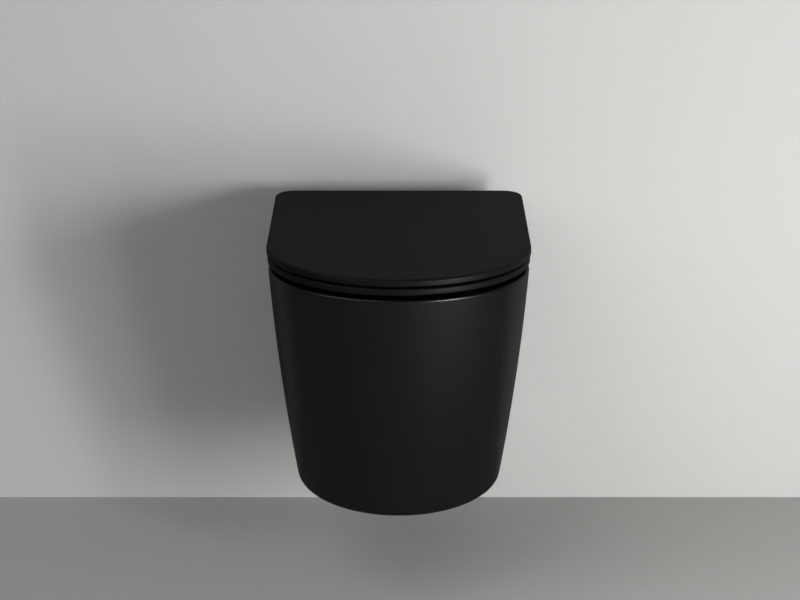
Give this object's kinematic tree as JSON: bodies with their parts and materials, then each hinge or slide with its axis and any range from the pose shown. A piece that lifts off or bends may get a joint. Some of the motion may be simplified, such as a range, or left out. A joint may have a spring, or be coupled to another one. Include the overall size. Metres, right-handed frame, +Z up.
{
  "type": "wall hung toilet",
  "caption": "Wall hung toilet: matt black ceramic bowl with a full tapered skirt, a slim seat and a flat lid on soft-close hinges.",
  "frame": {"origin": "on the finished wall, midway between the axes of the two wall studs", "axes": "+X to the right seen from the front, +Y towards the wall, +Z up; the bowl's front faces -Y"},
  "size_m": [0.36, 0.504, 0.3692],
  "materials": {
    "black_ceramic": "matt glaze",
    "black_duroplast": "matt moulded",
    "black_plastic": "matt",
    "white_plastic": "matt",
    "black_metal": "matt powder coat",
    "stainless_steel": "brushed",
    "galvanised_steel": "zinc plated",
    "brass": "turned",
    "black_rubber": "matt",
    "soft_buffer": "matt",
    "grey_foam": "closed-cell foam"
  },
  "bodies": {
    "bowl": {"ceramic_bowl": "black_ceramic", "wall_gasket": "grey_foam", "inlet_seal": "black_rubber", "wall_bracket_left": "galvanised_steel", "wall_bracket_right": "galvanised_steel", "stud_washers": "stainless_steel", "stud_nuts": "stainless_steel", "side_nuts": "galvanised_steel", "side_sleeves": "white_plastic", "side_screws": "stainless_steel", "side_cap_left": "black_plastic", "side_cap_right": "black_plastic", "hinge_barrel_left": "black_metal", "hinge_barrel_right": "black_metal", "hinge_post_left": "stainless_steel", "hinge_post_right": "stainless_steel", "post_screws": "stainless_steel", "expansion_bushes": "black_rubber", "bush_nuts": "brass", "grub_screws": "stainless_steel", "lid_damper_housing": "black_plastic", "seat_damper_housing": "black_plastic", "lid_damper_cap": "black_plastic", "seat_damper_cap": "black_plastic", "lid_bearing_plug": "white_plastic", "seat_bearing_plug": "white_plastic"},
    "seat": {"seat_ring": "black_duroplast", "seat_buffers": "soft_buffer", "seat_damper_rotor": "stainless_steel", "seat_pivot_pin": "stainless_steel"},
    "lid": {"lid": "black_duroplast", "lid_buffers": "soft_buffer", "lid_damper_rotor": "stainless_steel", "lid_pivot_pin": "stainless_steel"}
  },
  "joints": [
    {"name": "seat_hinge", "type": "hinge", "parent": "bowl", "child": "seat", "pos_m": [0, -0.0535, 0.0952], "axis": [-1, 0, 0], "range_deg": [0, 90]},
    {"name": "lid_hinge", "type": "hinge", "parent": "seat", "child": "lid", "pos_m": [0, -0.0535, 0.0952], "axis": [-1, 0, 0], "range_deg": [0, 90]}
  ]
}
